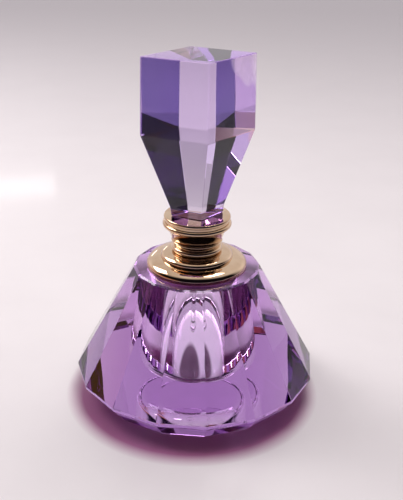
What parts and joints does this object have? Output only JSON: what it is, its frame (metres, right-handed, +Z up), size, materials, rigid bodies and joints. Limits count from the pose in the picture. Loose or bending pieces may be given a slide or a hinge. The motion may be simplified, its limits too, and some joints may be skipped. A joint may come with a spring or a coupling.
{
  "type": "perfume bottle",
  "caption": "Faceted cut-crystal perfume bottle on a wide girdle, with a gilt two-step collar, waisted screw cap, rhombic crystal stopper and glass dabber rod.",
  "frame": {"origin": "centre of the base, on the surface the bottle stands on", "axes": "+Z up the bottle's axis; -Y towards the front"},
  "size_m": [0.0796, 0.0796, 0.1119],
  "materials": {
    "purple_crystal": "polished purple lead crystal",
    "clear_glass": "fire-polished clear glass rod",
    "clear_cement": "clear cured cement",
    "gilt": "polished light gold plate",
    "brass": "turned brass",
    "white_plastic": "moulded polyethylene",
    "grey_seal": "soft sealing washer"
  },
  "bodies": {
    "bottle": {"bottle_body": "purple_crystal", "collar_cement": "clear_cement", "neck_cement": "clear_cement", "neck_fitting": "brass", "collar": "gilt"},
    "wand": {"dabber_rod": "clear_glass", "dabber_plug": "white_plastic", "seal_washer": "grey_seal"},
    "cap": {"cap_liner": "white_plastic", "cap_shell": "gilt", "stopper_cement": "clear_cement", "stopper_crystal": "purple_crystal"}
  },
  "joints": [
    {"name": "stopper_lift", "type": "slide", "parent": "bottle", "child": "wand", "axis": [0, 0, 1], "range_m": [0, 0.06]},
    {"name": "stopper_turn", "type": "hinge", "parent": "wand", "child": "cap", "pos_m": [0, 0, 0.05], "axis": [0, 0, 1], "continuous": true}
  ]
}
